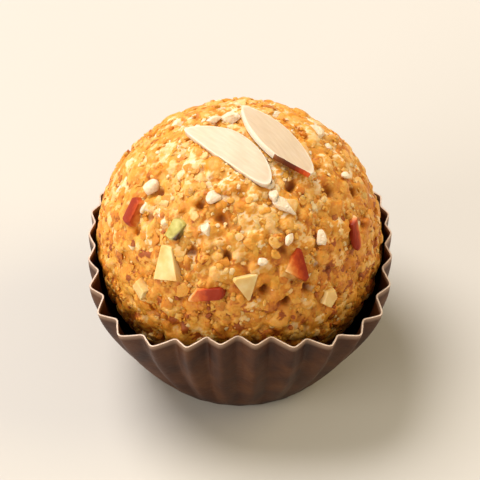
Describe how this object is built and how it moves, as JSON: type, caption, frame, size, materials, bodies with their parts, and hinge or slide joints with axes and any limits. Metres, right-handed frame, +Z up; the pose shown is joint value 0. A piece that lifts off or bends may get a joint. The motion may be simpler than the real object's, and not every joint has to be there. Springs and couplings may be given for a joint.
{
  "type": "makhana almond ladoo",
  "caption": "Hand-rolled ball sweet of crushed puffed lotus seed and chopped nuts, topped with almond slices, standing in a pleated paper case.",
  "frame": {"origin": "middle of the underside of the paper case, on the surface that it stands on", "axes": "+Z up out of the top of the sweet; -Y towards the side that shows the almond slices best; +X to the right of that side"},
  "size_m": [0.0424, 0.0438, 0.0394],
  "materials": {
    "ladoo_crumb": "coarse golden crumb, slightly sticky and glistening",
    "almond_slice": "smooth cut face of blanched almond",
    "case_paper": "thin pleated glassine paper, soft sheen"
  },
  "bodies": {
    "root": {"ladoo": "ladoo_crumb", "almond_slice_left": "almond_slice", "almond_slice_right": "almond_slice", "paper_case": "case_paper"}
  },
  "joints": []
}
